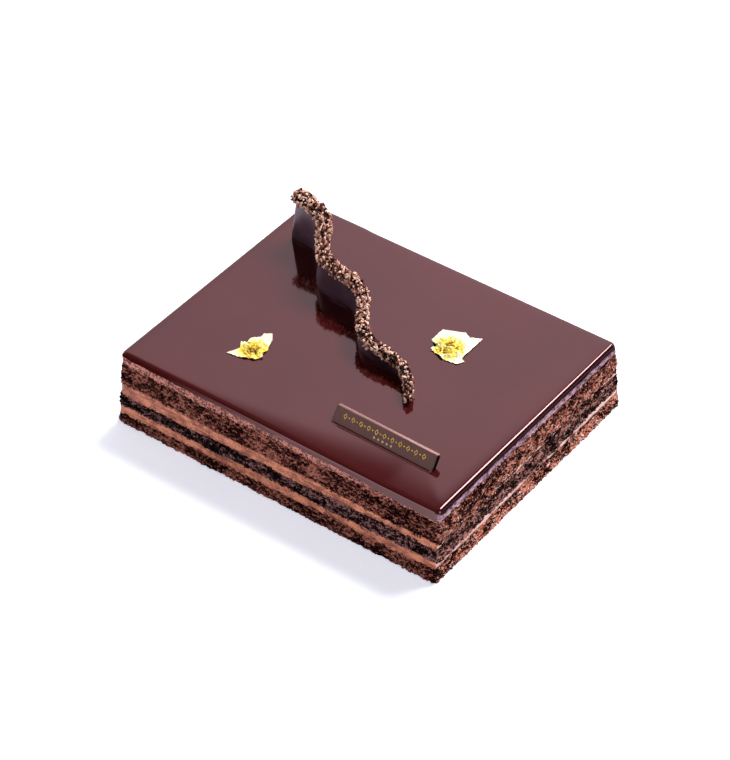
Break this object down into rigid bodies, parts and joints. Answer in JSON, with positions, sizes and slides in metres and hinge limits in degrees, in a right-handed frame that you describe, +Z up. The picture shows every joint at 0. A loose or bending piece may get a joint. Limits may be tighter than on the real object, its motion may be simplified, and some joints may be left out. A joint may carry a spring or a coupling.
{
  "type": "chocolate entremet",
  "caption": "Rectangular layered chocolate entremet: biscuit and ganache layers, poured glaze, wavy grain-topped chocolate ribbon, leaning plaque and gold leaf.",
  "frame": {"origin": "centre of the cake's base", "axes": "+X along the long side, +Y from the front to the back, +Z up"},
  "size_m": [0.1634, 0.1334, 0.0628],
  "materials": {
    "chocolate_biscuit": "moist open crumb",
    "dark_biscuit": "moist open crumb, nearly black",
    "ganache": "smooth, satin",
    "chocolate_glaze": "mirror gloss",
    "dark_chocolate": "tempered, satin",
    "praline_grains": "rough grains",
    "gold_leaf": "crumpled foil"
  },
  "bodies": {
    "root": {"biscuit_bottom": "chocolate_biscuit", "ganache_lower": "ganache", "biscuit_middle": "dark_biscuit", "ganache_upper": "ganache", "biscuit_top": "chocolate_biscuit", "ganache_top": "ganache", "chocolate_glaze": "chocolate_glaze", "chocolate_ribbon": "dark_chocolate", "grain_crust": "praline_grains", "chocolate_plaque": "dark_chocolate", "gold_leaf_left": "gold_leaf", "gold_leaf_right": "gold_leaf"}
  },
  "joints": []
}
